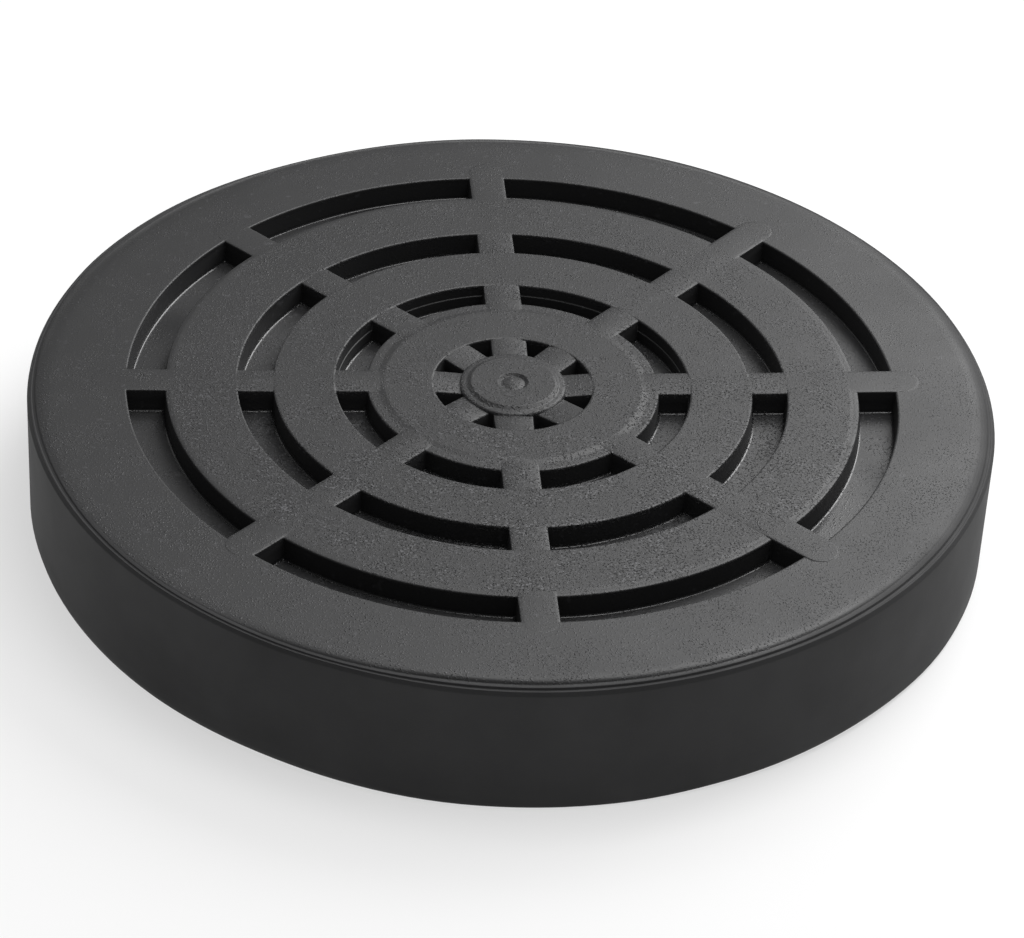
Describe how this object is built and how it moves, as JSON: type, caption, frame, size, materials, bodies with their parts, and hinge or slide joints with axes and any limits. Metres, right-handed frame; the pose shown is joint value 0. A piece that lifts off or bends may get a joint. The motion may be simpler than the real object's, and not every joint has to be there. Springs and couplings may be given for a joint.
{
  "type": "lift arm rubber pad",
  "caption": "Round moulded rubber pad for a vehicle lift arm, with a plain wall and a tread of ring grooves crossed by radial ribs round a raised hub button.",
  "frame": {"origin": "middle of the flat underside, on the surface that the pad rests on", "axes": "+Z is the pad's round axis and points up to the tread, +X runs along one rib, +Y completes the right hand"},
  "size_m": [0.127, 0.127, 0.0194],
  "materials": {
    "moulded_rubber": "matt black moulded rubber with a fine grain on the tread"
  },
  "bodies": {
    "root": {"rubber_pad": "moulded_rubber"}
  },
  "joints": []
}
